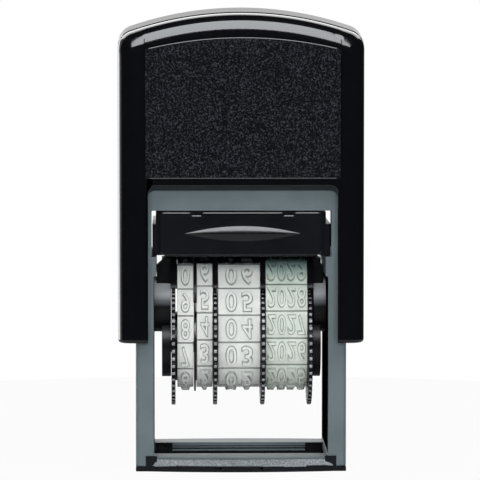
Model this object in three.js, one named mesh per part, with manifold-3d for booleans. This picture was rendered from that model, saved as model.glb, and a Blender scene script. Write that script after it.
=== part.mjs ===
// Self-inking date stamp: a stand with an ink cartridge, a cap that is pressed down on it,
// and a print unit with four type bands that the cap carries down and turns over.
// Millimetres, +Z up, the front looks along -Y, the origin lies on the ground under the middle.

import * as THREE from "three";
import { mergeVertices } from "three/addons/utils/BufferGeometryUtils.js";
import Module from "manifold-3d";

const wasm = await Module();
wasm.setup();

// Fits and clearances
const seatGap = 0.3; // between a piece and the piece that carries it
const pinGap = 0.25; // round a pin or an axle in its hole
const stackGap = 0.15; // beside each disc and band on the axle
const wheelSideGap = 0.3; // outer discs to the side plates
const padGap = 0.3; // type face to ink pad at rest
const pressGap = 0.2; // type face to the ground when pressed
const capSideGap = 0.9; // stand to cap, at the sides
const capFrontGap = 0.5; // stand to cap, at front and back
const cutOverrun = 2; // how far a cutting solid runs past what it cuts

// Travel
const stroke = 21.6; // how far the cap goes down while the unit turns by half a turn

// Type bands
const bandRows = 13; // rows of type on each band
const rowGroove = 0.45; // between two rows
const beltRadius = 8.1; // outside of the belt where it runs round the drum
const beltThickness = 1;
const typeHeight = 0.6; // how far the type stands out of the belt
const flankRadius = 18; // the belt's long curve from the drum up to the platen
const flankTurn = THREE.MathUtils.degToRad(40);
const noseRadius = 1.6; // the belt over the platen's edge
const bandWidths = [3.15, 3.1, 8.25, 8.15];
const bandShifts = [1.6, 1, 1.5, 0.7]; // how far each band is wound on from its middle

// Setting wheels
const discRadius = 11.6;
const discThickness = 0.78;
const toothDepth = 0.65;
const discTeeth = 48;
const toothShares = [
  [0, 1],
  [0.3, 1],
  [0.45, 0],
  [0.85, 0],
]; // one tooth: shares of its pitch, and of its depth below the rim
const flangeWheel = 1; // the wheel, counted from zero, with the flange between two bands
const flangeRadius = 8.9;
const flangeThickness = 0.35;
const stackOffset = 0.41; // the wheels stand a little to the right
const axleRadius = 1.2;

// Print unit
const axleDrop = 8.36; // axle below the pivot
const printReach = 9.56; // type face above the pivot
const bossRadius = 5.05;
const pivotPinRadius = 1.75;
const shoulderStep = 0.68; // the side plates' thick upper half stands out of their lower half
const sideFootRadius = 6; // the side plates' round lower end, about the axle
const sideTopDrop = 0.26; // the plates' top, below the type face
const sideTopDepth = 6.6;
const shoulderChamfer = 1.65;
const shoulderGap = 0.12; // to the ledges
const sideShift = 0.25; // the unit's outer faces stand a little to the right
const finLift = 0.25; // how far the platen's fins stand out of the belt

// Stand
const legGap = 33.8;
const legThickness = 3.5;
const legDepth = 29.2;
const ledgeReach = 0.5; // how far the cartridge ledges stand out of the legs
const ledgeHeight = 3.8;
const slotRecess = 0.35; // how far the legs are cut back beside the cartridge
const roofThickness = 2;
const trayDepth = 7.4;
const trayWall = 2;
const postRadius = 3.1; // the spring's post on the roof
const postHeight = 5;
const barInner = 8.8; // from the middle to the inner edge of the bars
const barHeight = 1.75;
const barEndReach = 14; // from the middle to a bar's outer edge, at its ends
const barBulge = 1;

// Cam plates in the legs
const camThickness = 1.1;
const camMargin = 1.5; // leg left in front of and behind the plate
const camFootGap = 0.6; // above the bars
const followerRadius = 0.9; // pins on the side plates, which turn the unit
const followerReach = 3.4; // from the pivot to those pins
const followerGap = 0.3; // round a pin in its track

// Base ring
const footHeight = 1;
const footReach = 15; // from the middle to the feet's front edge
const barLap = 1.2; // how far the bars run under the legs at each end
const ringBulge = 1.65;
const lipHeight = 1.45; // above the ring
const lipEdgeHeight = 0.15;
const lipEndRun = 1.4; // the sloped ends of the lips

// Ink cartridge
const cartridgeHeight = 8.35;
const cartridgeSideGap = 0.5; // to the legs
const flangeReach = 0.55; // side flanges
const flangeHeight = 6.05;
const cartridgeInset = 0.3; // behind the legs' front faces
const gripWidth = 22.4; // the lens-shaped ridge on its front
const gripHeight = 2.9;
const gripBulge = 0.6;
const gripDrop = 4.15; // its middle, below the cartridge's top
const gripSharpness = 1.6; // power of the ridge's section: 1 is a roof, 2 is round
const frontShift = 0.33; // window, panel, grip and notches stand a little to the right
const notchWidth = 2.4;
const notchSpacing = 18;
const notchDepth = 1; // down
const notchReach = 2.4; // back from the front
const padMargin = 1; // beyond the outer discs
const padDepth = 14;
const padThickness = 3;
const padReach = 0.75; // how far the pad stands out of the cartridge

// Cap
const capHeight = 89.8; // ground to the crown of the cap
const capSideWall = 2.5;
const capFrontWall = 2.1;
const capRoofWall = 2.2;
const crownRadius = 66; // arch of the top, seen from the front
const shoulderRadius = 3.5; // where the arch meets the sides
const capEdgeRadius = 5.9; // where the arch meets the front and back
const capEdgeTurn = THREE.MathUtils.degToRad(50); // of that edge, up to the crease
const creaseDrop = 1.25; // crown to the crease
const creaseRun = 5.4; // crease to the level top, front to back
const capCornerRadius = 2.8; // upright edges
const capFootChamfer = 0.6;
const windowWidth = 36.6;
const windowCorner = 1.4; // its upper corners
const windowReveal = 4.5; // stand's roof that shows in the window
const capLegPressed = 3.5; // the cap's legs above the ground when pressed
const pinSeatDepth = 1.3; // of the pivot pins in the cap's legs
const panelWidth = 37.8;
const panelDrop = 5.8; // crown to the panel's top
const panelFoot = 1.9; // window to the panel's lower edge
const panelRelief = 0.35;
const panelCrownRadius = 80;

// Return spring
const springRadius = 4.6;
const wireRadius = 0.45;
const springTurns = 7;
const springSteps = 8; // per turn
const wireSides = 5;

// Roundness of the drawn curves
const roundSteps = 32;
const cornerSteps = 4;
const archSides = 10; // across half of the cap's arch
const gripSides = 5; // across half of the cartridge's grip
const archSteps = 96; // along a belt's whole length
const rowSteps = 4; // along a row's inner side
const typeSteps = 6; // along a row's type face

// Places that follow from the sizes above
const legInner = legGap / 2;
const legOuter = legInner + legThickness;
const legFront = legDepth / 2;
const pivotHeight = pressGap + printReach + stroke;
const pivotLow = pivotHeight - stroke;
const padBottom = pivotHeight + printReach + padGap;
const cartridgeBottom = padBottom + padReach;
const cartridgeTop = cartridgeBottom + cartridgeHeight;
const ledgeTop = cartridgeBottom - seatGap;
const roofBottom = cartridgeTop + seatGap;
const roofTop = roofBottom + roofThickness;
const standTop = roofTop + trayDepth;
const barTop = footHeight + barHeight;
const barHalf = legInner + barLap;
const capInner = legOuter + capSideGap;
const capOuter = capInner + capSideWall;
const capInnerFront = legFront + capFrontGap;
const capFront = capInnerFront + capFrontWall;
const capFoot = stroke + capLegPressed;
const windowTop = roofBottom + windowReveal;
const capCeiling = capHeight - capRoofWall;
const shoulderOuter = legInner - ledgeReach - shoulderGap;
const sideOuter = shoulderOuter - shoulderStep;
const sideTopHeight = printReach - sideTopDrop;
const slotRadius = pivotPinRadius + followerGap;
const trackRadius = followerRadius + followerGap;
const drumRadius = beltRadius - beltThickness - seatGap;
const beltTop = printReach - typeHeight;
const camBottom = barTop + camFootGap;
const camTop = ledgeTop - ledgeHeight - seatGap - camFootGap;
const camReach = legFront - camMargin;

// The wheels' places along the axle: each disc, flange and band after the one before it
const stackItems = [
  ["disc", discThickness],
  ["band", bandWidths[0]],
  ["flange", flangeThickness],
  ["band", bandWidths[1]],
  ["disc", discThickness],
  ["band", bandWidths[2]],
  ["disc", discThickness],
  ["band", bandWidths[3]],
  ["disc", discThickness],
];
const stackWidth =
  stackItems.reduce((sum, [, width]) => sum + width, 0) + stackGap * (stackItems.length - 1);
let stackPlace = stackOffset - stackWidth / 2;
const stack = stackItems.map(([kind, width]) => {
  const place = { kind, from: stackPlace, to: stackPlace + width };
  stackPlace += width + stackGap;
  return place;
});
const discs = stack.filter((place) => place.kind === "disc");
const flange = stack.find((place) => place.kind === "flange");
const bands = stack.filter((place) => place.kind === "band");
const padHalf = stackWidth / 2 + padMargin;

// From the middle to a side plate's inner face; the wheels stand nearer to the right plate
const sideInner = (hand) =>
  wheelSideGap + (hand > 0 ? stack.at(-1).to : -stack[0].from);

// Helpers: closed geometries in, solids out

function solid(geometry) {
  const bare = geometry.clone();
  for (const name of ["normal", "uv"]) bare.deleteAttribute(name);
  const merged = mergeVertices(bare, 1e-4);
  return new wasm.Manifold(
    new wasm.Mesh({
      numProp: 3,
      vertProperties: merged.attributes.position.array,
      triVerts: new Uint32Array(merged.index.array),
    }),
  );
}

function geometryOf(manifold) {
  const mesh = manifold.getMesh();
  const geometry = new THREE.BufferGeometry();
  geometry.setAttribute("position", new THREE.BufferAttribute(mesh.vertProperties, 3));
  geometry.setIndex(new THREE.BufferAttribute(mesh.triVerts, 1));
  const flat = geometry.toNonIndexed();
  flat.computeVertexNormals();
  return flat;
}

const box = (x0, x1, y0, y1, z0, z1) =>
  solid(
    new THREE.BoxGeometry(x1 - x0, y1 - y0, z1 - z0).translate(
      (x0 + x1) / 2,
      (y0 + y1) / 2,
      (z0 + z1) / 2,
    ),
  );

const shapeOf = (points) => new THREE.Shape(points.map(([a, b]) => new THREE.Vector2(a, b)));

function extruded(shape, length, steps) {
  return new THREE.ExtrudeGeometry(shape, {
    depth: length,
    bevelEnabled: false,
    curveSegments: steps,
  });
}

// An outline in Y and Z, drawn out along X
function alongX(shape, x0, x1, steps = cornerSteps) {
  const turn = new THREE.Matrix4().makeBasis(
    new THREE.Vector3(0, 1, 0),
    new THREE.Vector3(0, 0, 1),
    new THREE.Vector3(1, 0, 0),
  );
  return solid(extruded(shape, x1 - x0, steps).applyMatrix4(turn).translate(x0, 0, 0));
}

// An outline in X and Z, drawn out along Y
function alongY(shape, y0, y1, steps = cornerSteps) {
  const turn = new THREE.Matrix4().makeBasis(
    new THREE.Vector3(1, 0, 0),
    new THREE.Vector3(0, 0, 1),
    new THREE.Vector3(0, -1, 0),
  );
  return solid(extruded(shape, y1 - y0, steps).applyMatrix4(turn).translate(0, y1, 0));
}

// An outline in X and Y, drawn out along Z
const alongZ = (shape, z0, z1, steps = cornerSteps) =>
  solid(extruded(shape, z1 - z0, steps).translate(0, 0, z0));

function rodX(radius, x0, x1, z, steps = roundSteps) {
  const rod = new THREE.CylinderGeometry(radius, radius, x1 - x0, steps);
  return solid(rod.rotateZ(Math.PI / 2).translate((x0 + x1) / 2, 0, z));
}

function rodZ(radius, z0, z1, steps = roundSteps) {
  const rod = new THREE.CylinderGeometry(radius, radius, z1 - z0, steps);
  return solid(rod.rotateX(Math.PI / 2).translate(0, 0, (z0 + z1) / 2));
}

// The outline at a distance round a convex outline, with round corners
function roundedAround(points, radius, steps = cornerSteps) {
  const outline = [];
  points.forEach(([a, b], i) => {
    const before = points.at(i - 1);
    const after = points[(i + 1) % points.length];
    const from = Math.atan2(b - before[1], a - before[0]) - Math.PI / 2;
    let turn = Math.atan2(after[1] - b, after[0] - a) - Math.PI / 2 - from;
    while (turn < 0) turn += 2 * Math.PI;
    for (let k = 0; k <= steps; k++) {
      const angle = from + (turn * k) / steps;
      outline.push([a + radius * Math.cos(angle), b + radius * Math.sin(angle)]);
    }
  });
  return shapeOf(outline);
}

const roundedBox = (width, depth, radius) => {
  const a = width / 2 - radius;
  const b = depth / 2 - radius;
  const corners = [
    [-a, -b],
    [a, -b],
    [a, b],
    [-a, b],
  ];
  return roundedAround(corners, radius);
};

// A bar whose outer edge bulges: an outline in X and Y, at the front
function bulgedBar(halfWidth, inner, endReach, bulge) {
  const shape = new THREE.Shape();
  shape.moveTo(halfWidth, -inner);
  shape.lineTo(-halfWidth, -inner);
  shape.lineTo(-halfWidth, -endReach);
  shape.quadraticCurveTo(0, -endReach - 2 * bulge, halfWidth, -endReach);
  return shape;
}

// Convex sections across X, joined to one closed skin
function loftedAlongX(sections) {
  const count = sections[0].points.length;
  const positions = [];
  for (const { x, points } of sections) for (const [y, z] of points) positions.push(x, y, z);
  const index = [];
  for (let s = 0; s + 1 < sections.length; s++)
    for (let i = 0; i < count; i++) {
      const j = (i + 1) % count;
      const [a, b, c, d] = [s * count + i, s * count + j, (s + 1) * count + j, (s + 1) * count + i];
      index.push(a, b, c, a, c, d);
    }
  const last = (sections.length - 1) * count;
  for (let i = 1; i + 1 < count; i++) {
    index.push(0, i + 1, i);
    index.push(last, last + i, last + i + 1);
  }
  const geometry = new THREE.BufferGeometry();
  geometry.setAttribute("position", new THREE.Float32BufferAttribute(positions, 3));
  geometry.setIndex(index);
  return solid(geometry);
}

const bothSides = (made) => made.add(made.mirror([0, 1, 0]));

function part(name, manifold, color, roughness, metalness = 0) {
  const material = new THREE.MeshStandardMaterial({ color, roughness, metalness });
  const mesh = new THREE.Mesh(geometryOf(manifold), material);
  mesh.name = name;
  return mesh;
}

// The belt's way: lengths along its outer face from the top's middle, forward and down,
// in Y and Z about the pivot. Lift is how far a point stands out of that face.

const noseTurn = Math.PI / 2 - flankTurn;
const flankTopY = beltRadius - flankRadius * (1 - Math.cos(flankTurn));
const flatHalf = flankTopY - noseRadius * Math.cos(flankTurn);
const flankFootZ =
  beltTop - noseRadius * (1 - Math.sin(flankTurn)) - flankRadius * Math.sin(flankTurn);
const beltStretches = [
  flatHalf,
  noseRadius * noseTurn,
  flankRadius * flankTurn,
  flankFootZ + axleDrop,
  (beltRadius * Math.PI) / 2,
];
const beltLength = 2 * beltStretches.reduce((sum, length) => sum + length, 0);
const rowPitch = beltLength / bandRows;

function beltPoint(way, lift) {
  const along = THREE.MathUtils.euclideanModulo(way, beltLength);
  const back = along > beltLength / 2;
  let left = back ? beltLength - along : along;
  let piece = 0;
  while (piece < beltStretches.length - 1 && left > beltStretches[piece])
    left -= beltStretches[piece++];
  const arc = (y, z, radius, angle) => [
    y + (radius + lift) * Math.cos(angle),
    z + (radius + lift) * Math.sin(angle),
  ];
  const [y, z] = [
    () => [left, beltTop + lift],
    () => arc(flatHalf, beltTop - noseRadius, noseRadius, Math.PI / 2 - left / noseRadius),
    () => arc(beltRadius - flankRadius, flankFootZ, flankRadius, flankTurn - left / flankRadius),
    () => [beltRadius + lift, flankFootZ - left],
    () => arc(0, -axleDrop, beltRadius, -left / beltRadius),
  ][piece]();
  return [back ? y : -y, z];
}

// The belt's outline at one lift, above a height, from back to front
function beltArch(lift, floor) {
  const points = [];
  for (let i = 0; i < archSteps; i++) {
    const point = beltPoint((i / archSteps - 1 / 2) * beltLength, lift);
    if (point[1] > floor) points.push(point);
  }
  points.unshift([points[0][0], floor]);
  points.push([points.at(-1)[0], floor]);
  return shapeOf(points);
}

// Stand: legs, roof with its tray, and the two bars, in one moulding

function innerFrame() {
  const leg = (inner, z0, z1) => box(inner, legOuter, -legFront, legFront, z0, z1);
  const ledge = box(
    legInner - ledgeReach,
    legInner + cutOverrun / 2,
    -legFront,
    legFront,
    ledgeTop - ledgeHeight,
    ledgeTop,
  );
  const besideCartridge = box(
    0,
    legInner + slotRecess,
    -legFront - cutOverrun,
    legFront + cutOverrun,
    ledgeTop,
    roofBottom,
  );
  const camSeat = box(
    0,
    legInner + camThickness + seatGap,
    -camReach - seatGap,
    camReach + seatGap,
    camBottom - seatGap,
    camTop + seatGap,
  );
  const pivotSlot = alongX(pivotSlotShape(), 0, legOuter + cutOverrun);
  const besideLip = box(
    0,
    barHalf + seatGap,
    barEndReach,
    legFront + cutOverrun,
    footHeight - cutOverrun,
    barTop,
  );
  const side = leg(legInner, footHeight, roofTop)
    .subtract(bothSides(besideLip))
    .subtract(camSeat)
    .subtract(pivotSlot)
    .add(ledge)
    .subtract(besideCartridge);
  const roof = box(-legOuter, legOuter, -legFront, legFront, roofBottom, standTop);
  const tray = box(
    trayWall - legOuter,
    legOuter - trayWall,
    trayWall - legFront,
    legFront - trayWall,
    roofTop,
    standTop + cutOverrun,
  );
  const post = rodZ(postRadius, roofBottom + roofThickness / 2, roofTop + postHeight);
  const barShape = bulgedBar(barHalf, barInner, barEndReach, barBulge);
  const bars = bothSides(alongZ(barShape, footHeight, barTop));
  return side
    .add(side.mirror([1, 0, 0]))
    .add(roof)
    .subtract(tray)
    .add(post)
    .add(bars);
}

// Cam plates: black inlays in the legs, with the pivot's slot and the follower's pocket

function pivotSlotShape() {
  const ends = [
    [0, pivotLow],
    [0, pivotHeight],
  ];
  return roundedAround(ends, slotRadius, 2 * cornerSteps);
}

// Round the follower pin's way: it swings out and back while the unit goes down and turns
function followerPocketShape() {
  const middle = pivotHeight - stroke / 2;
  const way = [
    [0, pivotLow + followerReach],
    [followerReach, middle - followerReach / 2],
    [followerReach, middle + followerReach / 2],
    [0, pivotHeight - followerReach],
  ];
  return roundedAround(way, trackRadius);
}

function camPlate(hand) {
  const outer = legInner + camThickness;
  const plate = box(legInner, outer, -camReach, camReach, camBottom, camTop);
  const cut = (shape) => alongX(shape, legInner - cutOverrun, outer + cutOverrun);
  const made = plate.subtract(cut(pivotSlotShape())).subtract(cut(followerPocketShape()));
  return hand > 0 ? made : made.mirror([1, 0, 0]);
}

// Base ring: black foot plate under the stand, with a sloped lip along front and back

function baseRing() {
  const feet = box(-legOuter, legOuter, -footReach, footReach, 0, footHeight);
  const barShape = bulgedBar(barHalf, barInner, footReach, ringBulge);
  const bars = bothSides(alongZ(barShape, 0, footHeight, 3 * cornerSteps));
  const opening = box(
    -legInner,
    legInner,
    -barInner,
    barInner,
    -cutOverrun,
    footHeight + cutOverrun,
  );
  const section = (x, height) => {
    const bulge = 1 - (x / barHalf) ** 2;
    const edge = -footReach - ringBulge * bulge;
    const inner = -barEndReach - barBulge * bulge - seatGap;
    const points = [
      [edge, footHeight / 2],
      [inner, footHeight / 2],
      [inner, footHeight + height],
      [edge, footHeight + lipEdgeHeight],
    ];
    return { x, points };
  };
  const crestHalf = barHalf - lipEndRun;
  const sections = [section(-barHalf, lipEdgeHeight)];
  for (let i = -cornerSteps; i <= cornerSteps; i++)
    sections.push(section((crestHalf * i) / cornerSteps, lipHeight));
  sections.push(section(barHalf, lipEdgeHeight));
  return feet.add(bars).add(bothSides(loftedAlongX(sections))).subtract(opening);
}

// Ink cartridge, drawn out to the front, and its pad

function inkCartridge() {
  const front = legFront - cartridgeInset;
  const half = legInner - cartridgeSideGap;
  const body = box(-half, half, -front, front, cartridgeBottom, cartridgeTop);
  const flanges = box(
    -half - flangeReach,
    half + flangeReach,
    -front,
    front,
    cartridgeBottom,
    cartridgeBottom + flangeHeight,
  );
  const middle = cartridgeTop - gripDrop;
  const grip = [];
  for (let i = -gripSides; i <= gripSides; i++) {
    const along = i / gripSides;
    const tall = (gripHeight / 2) * Math.max(1 - along ** 2, 1 / gripSides ** 2);
    const points = [[cutOverrun - front, middle - tall]];
    points.push([cutOverrun - front, middle + tall]);
    for (let k = -gripSides; k <= gripSides; k++) {
      const across = k / gripSides;
      const out = gripBulge * (1 - along ** 2) * (1 - Math.abs(across) ** gripSharpness);
      points.push([-front - out, middle - tall * across]);
    }
    grip.push({ x: frontShift + (gripWidth / 2) * along, points });
  }
  const pocket = box(
    -padHalf - pinGap,
    padHalf + pinGap,
    -padDepth / 2 - pinGap,
    padDepth / 2 + pinGap,
    cartridgeBottom - cutOverrun,
    padBottom + padThickness + pinGap,
  );
  let made = body.add(flanges).add(loftedAlongX(grip)).subtract(pocket);
  for (const x of [frontShift - notchSpacing / 2, frontShift + notchSpacing / 2]) {
    const notch = box(
      x - notchWidth / 2,
      x + notchWidth / 2,
      -front - cutOverrun,
      notchReach - front,
      cartridgeTop - notchDepth,
      cartridgeTop + cutOverrun,
    );
    made = made.subtract(notch);
  }
  return made;
}

const inkPad = () =>
  box(
    -padHalf,
    padHalf,
    -padDepth / 2,
    padDepth / 2,
    padBottom,
    padBottom + padThickness,
  );

// Cap: arched shell, open below, with a window at front and back between its four-sided legs

function crownShape(halfWidth, crown, radius, corner, foot, footCorner, steps) {
  const arch = crown - radius;
  const centreX = halfWidth - corner;
  const centreZ = arch + Math.sqrt((radius - corner) ** 2 - centreX ** 2);
  const end = Math.atan2(centreZ - arch, centreX);
  const shape = new THREE.Shape();
  shape.moveTo(-halfWidth, foot + footCorner);
  shape.lineTo(footCorner - halfWidth, foot);
  shape.lineTo(halfWidth - footCorner, foot);
  shape.lineTo(halfWidth, foot + footCorner);
  for (let k = 0; k <= steps; k++) {
    const angle = (end * k) / steps;
    shape.lineTo(centreX + corner * Math.cos(angle), centreZ + corner * Math.sin(angle));
  }
  for (let k = 1; k <= 3 * steps; k++) {
    const angle = end + ((Math.PI - 2 * end) * k) / (3 * steps);
    shape.lineTo(radius * Math.cos(angle), arch + radius * Math.sin(angle));
  }
  for (let k = 1; k <= steps; k++) {
    const angle = Math.PI - end + (end * k) / steps;
    shape.lineTo(-centreX + corner * Math.cos(angle), centreZ + corner * Math.sin(angle));
  }
  return shape;
}

// The cap's profile from the front face up to the level top, as distances in from the front
// and down from the crown: a round edge, the crease, and a shallow slope behind it
function edgeProfile(radius) {
  const profile = [];
  for (let k = 0; k <= cornerSteps; k++) {
    const angle = (capEdgeTurn * k) / cornerSteps;
    const rest = Math.sin(capEdgeTurn) - Math.sin(angle);
    profile.push([radius * (1 - Math.cos(angle)), creaseDrop + radius * rest]);
  }
  const [creaseIn] = profile.at(-1);
  profile.push([creaseIn + creaseRun, 0]);
  return profile;
}

// All that lies under an arched top, with its front and back edges shaped by the profile
function archedTop(front, crown, arch, radius) {
  const reach = capOuter + cutOverrun;
  const profile = edgeProfile(radius);
  const sections = [];
  for (let i = -archSides; i <= archSides; i++) {
    const x = (reach * i) / archSides;
    const top = crown - arch + Math.sqrt(arch ** 2 - x ** 2);
    const back = profile.map(([inward, down]) => [front - inward, top - down]);
    const ahead = back.map(([y, z]) => [-y, z]).reverse();
    sections.push({ x, points: [[-front, 0], [front, 0], ...back, ...ahead] });
  }
  return loftedAlongX(sections);
}

function capShell() {
  const crown = crownShape(
    capOuter,
    capHeight,
    crownRadius,
    shoulderRadius,
    capFoot,
    capFootChamfer,
    cornerSteps,
  );
  const plan = roundedBox(2 * capOuter, 2 * capFront, capCornerRadius);
  const outer = alongY(crown, -capFront, capFront)
    .intersect(archedTop(capFront, capHeight, crownRadius, capEdgeRadius))
    .intersect(alongZ(plan, 0, capHeight + cutOverrun));
  const hollow = crownShape(
    capInner,
    capCeiling,
    crownRadius - capRoofWall,
    shoulderRadius - capRoofWall / 2,
    capFoot - cutOverrun,
    cutOverrun / 2,
    cornerSteps,
  );
  const innerArch = crownRadius - capRoofWall;
  const inside = alongY(hollow, -capInnerFront, capInnerFront).intersect(
    archedTop(capInnerFront, capCeiling, innerArch, capEdgeRadius - capFrontWall),
  );
  const windowCorners = [
    [frontShift + windowCorner - windowWidth / 2, capFoot - cutOverrun],
    [frontShift + windowWidth / 2 - windowCorner, capFoot - cutOverrun],
    [frontShift + windowWidth / 2 - windowCorner, windowTop - windowCorner],
    [frontShift + windowCorner - windowWidth / 2, windowTop - windowCorner],
  ];
  const window = alongY(
    roundedAround(windowCorners, windowCorner),
    -capFront - cutOverrun,
    capFront + cutOverrun,
  );
  const panel = crownShape(
    panelWidth / 2,
    capHeight - panelDrop,
    panelCrownRadius,
    shoulderRadius / 2,
    windowTop + panelFoot,
    panelRelief,
    cornerSteps,
  );
  const panelRecess = alongY(panel, -capFront - cutOverrun, panelRelief - capFront)
    .translate([frontShift, 0, 0]);
  const pinSeat = rodX(
    pivotPinRadius + pinGap,
    -capInner - pinSeatDepth,
    capInner + pinSeatDepth,
    pivotHeight,
  );
  const post = rodZ(postRadius, capCeiling - postHeight, capCeiling + capRoofWall / 2);
  return outer
    .subtract(inside)
    .subtract(window)
    .subtract(panelRecess)
    .subtract(pinSeat)
    .add(post);
}

// Return spring: one unbroken wire between the stand's roof and the cap's ceiling

function returnSpring() {
  const low = roofTop + seatGap + wireRadius;
  const rise = capCeiling - seatGap - wireRadius - low;
  const steps = springTurns * springSteps;
  const positions = [];
  for (let i = 0; i <= steps; i++) {
    const turn = (2 * Math.PI * i) / springSteps;
    for (let k = 0; k < wireSides; k++) {
      const round = (2 * Math.PI * k) / wireSides;
      const reach = springRadius + wireRadius * Math.cos(round);
      const height = low + (rise * i) / steps + wireRadius * Math.sin(round);
      positions.push(reach * Math.cos(turn), reach * Math.sin(turn), height);
    }
  }
  const index = [];
  for (let i = 0; i < steps; i++)
    for (let k = 0; k < wireSides; k++) {
      const next = (k + 1) % wireSides;
      const [a, b] = [i * wireSides + k, i * wireSides + next];
      index.push(a, b + wireSides, b, a, a + wireSides, b + wireSides);
    }
  const last = steps * wireSides;
  for (let k = 1; k + 1 < wireSides; k++) {
    index.push(0, k, k + 1);
    index.push(last, last + k + 1, last + k);
  }
  const geometry = new THREE.BufferGeometry();
  geometry.setAttribute("position", new THREE.Float32BufferAttribute(positions, 3));
  geometry.setIndex(index);
  return solid(geometry);
}

// Print unit, drawn about its pivot

const outerFace = (hand) => sideOuter + hand * sideShift;

function unitSide(hand) {
  const inner = sideInner(hand);
  const outer = outerFace(hand);
  const half = sideTopDepth / 2;
  const plate = box(inner, outer, -half, half, -axleDrop, sideTopHeight);
  const foot = rodX(sideFootRadius, inner, outer, -axleDrop);
  const shoulder = new THREE.Shape();
  shoulder.moveTo(inner, 0);
  shoulder.lineTo(shoulderOuter, 0);
  shoulder.lineTo(shoulderOuter, sideTopHeight - shoulderChamfer);
  shoulder.lineTo(shoulderOuter - shoulderChamfer, sideTopHeight);
  shoulder.lineTo(inner, sideTopHeight);
  const block = alongY(shoulder, -half, half);
  const bossEnd = legInner - seatGap;
  const boss = rodX(bossRadius, inner, bossEnd, 0);
  const pinHole = rodX(pivotPinRadius + pinGap, 0, legOuter, 0);
  const axleHole = rodX(axleRadius + pinGap, 0, legOuter, -axleDrop);
  const followerEnd = legInner + camThickness - seatGap / 2;
  const follower = rodX(followerRadius, outer, followerEnd, -followerReach);
  const made = plate
    .add(foot)
    .add(block)
    .add(boss)
    .subtract(pinHole)
    .subtract(axleHole)
    .add(follower);
  return hand > 0 ? made : made.mirror([1, 0, 0]);
}

// The platen: a core under the belts, with a fin in each lane between them
function printBridge() {
  const above = (radius) => radius - axleDrop + seatGap;
  const core = beltArch(-beltThickness - seatGap, above(discRadius));
  let made = alongX(core, -sideInner(-1), sideInner(1));
  const fin = beltArch(finLift, above(discRadius));
  for (const { from, to } of discs) made = made.add(alongX(fin, from, to));
  const deepFin = beltArch(finLift, above(flangeRadius));
  return made.add(alongX(deepFin, flange.from, flange.to));
}

const wheelAxle = () =>
  rodX(axleRadius, -outerFace(-1), outerFace(1), -axleDrop, roundSteps / 2);

const pivotPin = (hand) => {
  const end = capInner + pinSeatDepth - seatGap;
  const made = rodX(pivotPinRadius, sideInner(hand) + seatGap, end, 0);
  return hand > 0 ? made : made.mirror([1, 0, 0]);
};

// One band: a belt with its rows of type, round the drum and over the platen
function dateBand(number) {
  const { from, to } = bands[number];
  const outer = [];
  for (let row = 0; row < bandRows; row++) {
    const start = bandShifts[number] + (row - 1 / 2) * rowPitch;
    const first = start + rowGroove / 2;
    const face = rowPitch - rowGroove;
    outer.push(beltPoint(first, 0));
    for (let k = 0; k <= typeSteps; k++)
      outer.push(beltPoint(first + (face * k) / typeSteps, typeHeight));
    outer.push(beltPoint(first + face, 0));
  }
  const shape = shapeOf(outer);
  const steps = bandRows * rowSteps;
  const inner = [];
  for (let i = 0; i < steps; i++) inner.push(beltPoint((-beltLength * i) / steps, -beltThickness));
  shape.holes.push(shapeOf(inner));
  return alongX(shape, from, to);
}

// One setting wheel, about the axle: a toothed disc with the drum that its band runs on
function settingWheel(number) {
  const disc = discs[number];
  const band = bands[number];
  const rim = [];
  for (let i = 0; i < discTeeth; i++)
    for (const [turnShare, rootShare] of toothShares) {
      const angle = (2 * Math.PI * (i + turnShare)) / discTeeth;
      const radius = discRadius - toothDepth * rootShare;
      rim.push([radius * Math.cos(angle), radius * Math.sin(angle)]);
    }
  let made = alongX(shapeOf(rim), disc.from, disc.to);
  const drumFrom = Math.min(disc.to, band.from);
  const drumTo = Math.max(disc.from, band.to);
  made = made.add(rodX(drumRadius, drumFrom, drumTo, 0));
  if (number === flangeWheel) {
    made = made.add(rodX(flangeRadius, flange.from, flange.to, 0));
    made = made.add(rodX(drumRadius, flange.from, band.to, 0));
  }
  const bore = rodX(axleRadius + pinGap, -sideOuter, sideOuter, 0, roundSteps / 2);
  return made.subtract(bore);
}

// Colours of the plastics and rubbers

const capBlack = "#0a0b0f";
const partBlack = "#14161a";
const standGray = "#68767b";
const rubberWhite = "#e2e6e3";
const padBlue = "#1b1e28";
const springSteel = "#9a9da0";

const stamp = new THREE.Group();
stamp.name = "date_stamp";

const stand = new THREE.Group();
stand.add(
  part("inner_frame", innerFrame(), standGray, 0.55),
  part("base_ring", baseRing(), partBlack, 0.6),
  part("cam_plate_left", camPlate(-1), partBlack, 0.5),
  part("cam_plate_right", camPlate(1), partBlack, 0.5),
  part("ink_cartridge", inkCartridge(), partBlack, 0.4),
  part("ink_pad", inkPad(), padBlue, 0.9),
  part("return_spring", returnSpring(), springSteel, 0.3, 0.9),
);

const cap = new THREE.Group();
cap.add(part("cap_shell", capShell(), capBlack, 0.25));
for (const [side, hand] of [
  ["left", -1],
  ["right", 1],
]) {
  const pin = part(`pivot_pin_${side}`, pivotPin(hand), partBlack, 0.4);
  pin.position.z = pivotHeight;
  cap.add(pin);
}

const unit = new THREE.Group();
unit.position.z = pivotHeight;
unit.add(
  part("unit_side_left", unitSide(-1), partBlack, 0.45),
  part("unit_side_right", unitSide(1), partBlack, 0.45),
  part("print_bridge", printBridge(), partBlack, 0.45),
  part("wheel_axle", wheelAxle(), springSteel, 0.3, 0.9),
);
for (let i = 0; i < bands.length; i++) {
  unit.add(part(`date_band_${i + 1}`, dateBand(i), rubberWhite, 0.7));
  const wheel = part(`setting_wheel_${i + 1}`, settingWheel(i), partBlack, 0.5);
  wheel.position.z = -axleDrop;
  unit.add(wheel);
}

stamp.add(stand, cap, unit);

export default stamp;
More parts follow.
